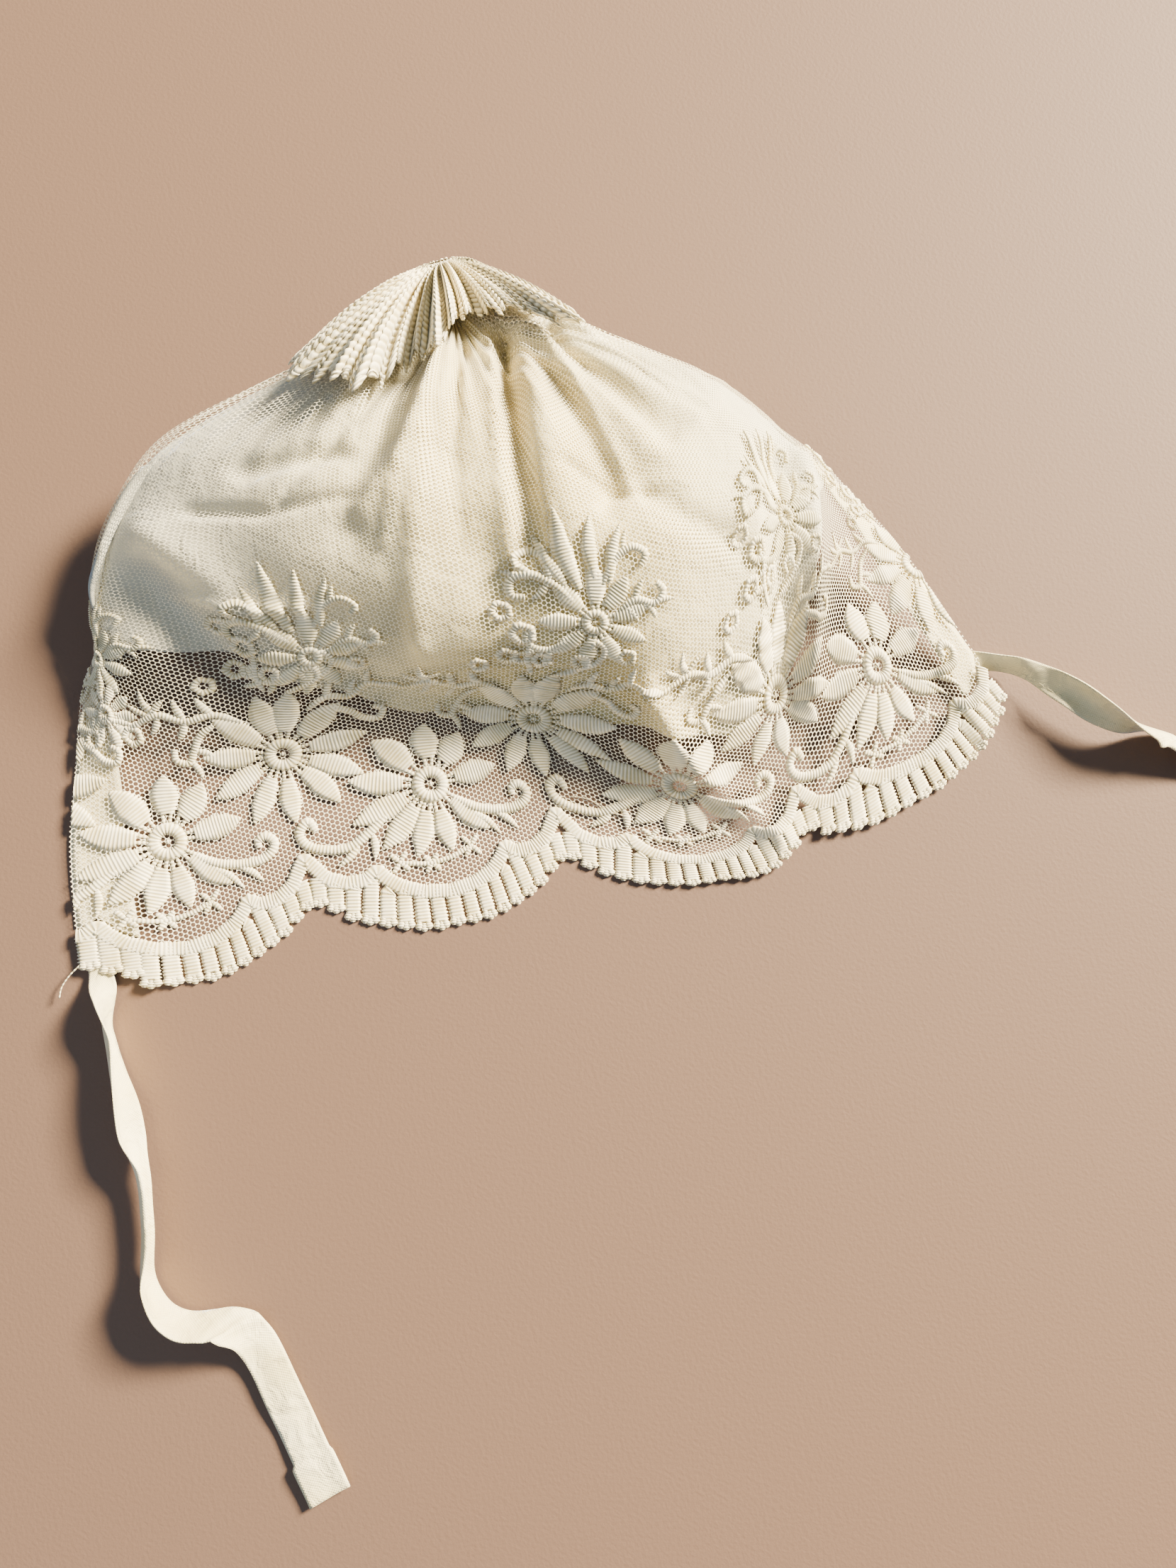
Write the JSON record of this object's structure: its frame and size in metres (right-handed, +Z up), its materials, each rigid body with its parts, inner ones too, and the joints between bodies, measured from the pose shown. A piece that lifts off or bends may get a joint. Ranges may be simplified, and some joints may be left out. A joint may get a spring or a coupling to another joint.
{
  "type": "baby bonnet",
  "caption": "Soft embroidered net baby bonnet lying open side down, gathered at the back under a ruffled rosette, with a scalloped face edge, an inner lining and tape ties",
  "frame": {"origin": "middle of the line between the two front corners, on the floor under the face border", "axes": "+X from the left front corner to the right front corner, +Y from the face edge to the gathered back, +Z up off the floor"},
  "size_m": [0.379, 0.3364, 0.0475],
  "materials": {
    "net": "fine open net",
    "lining": "soft thin lining",
    "embroidery": "satin stitch thread",
    "tape": "smooth cotton tape"
  },
  "bodies": {
    "root": {"net_shell": "net", "lining": "lining", "face_border": "embroidery", "rosette": "embroidery", "neck_tape_left": "tape", "neck_tape_right": "tape", "tie_left": "tape", "tie_right": "tape"}
  },
  "joints": []
}
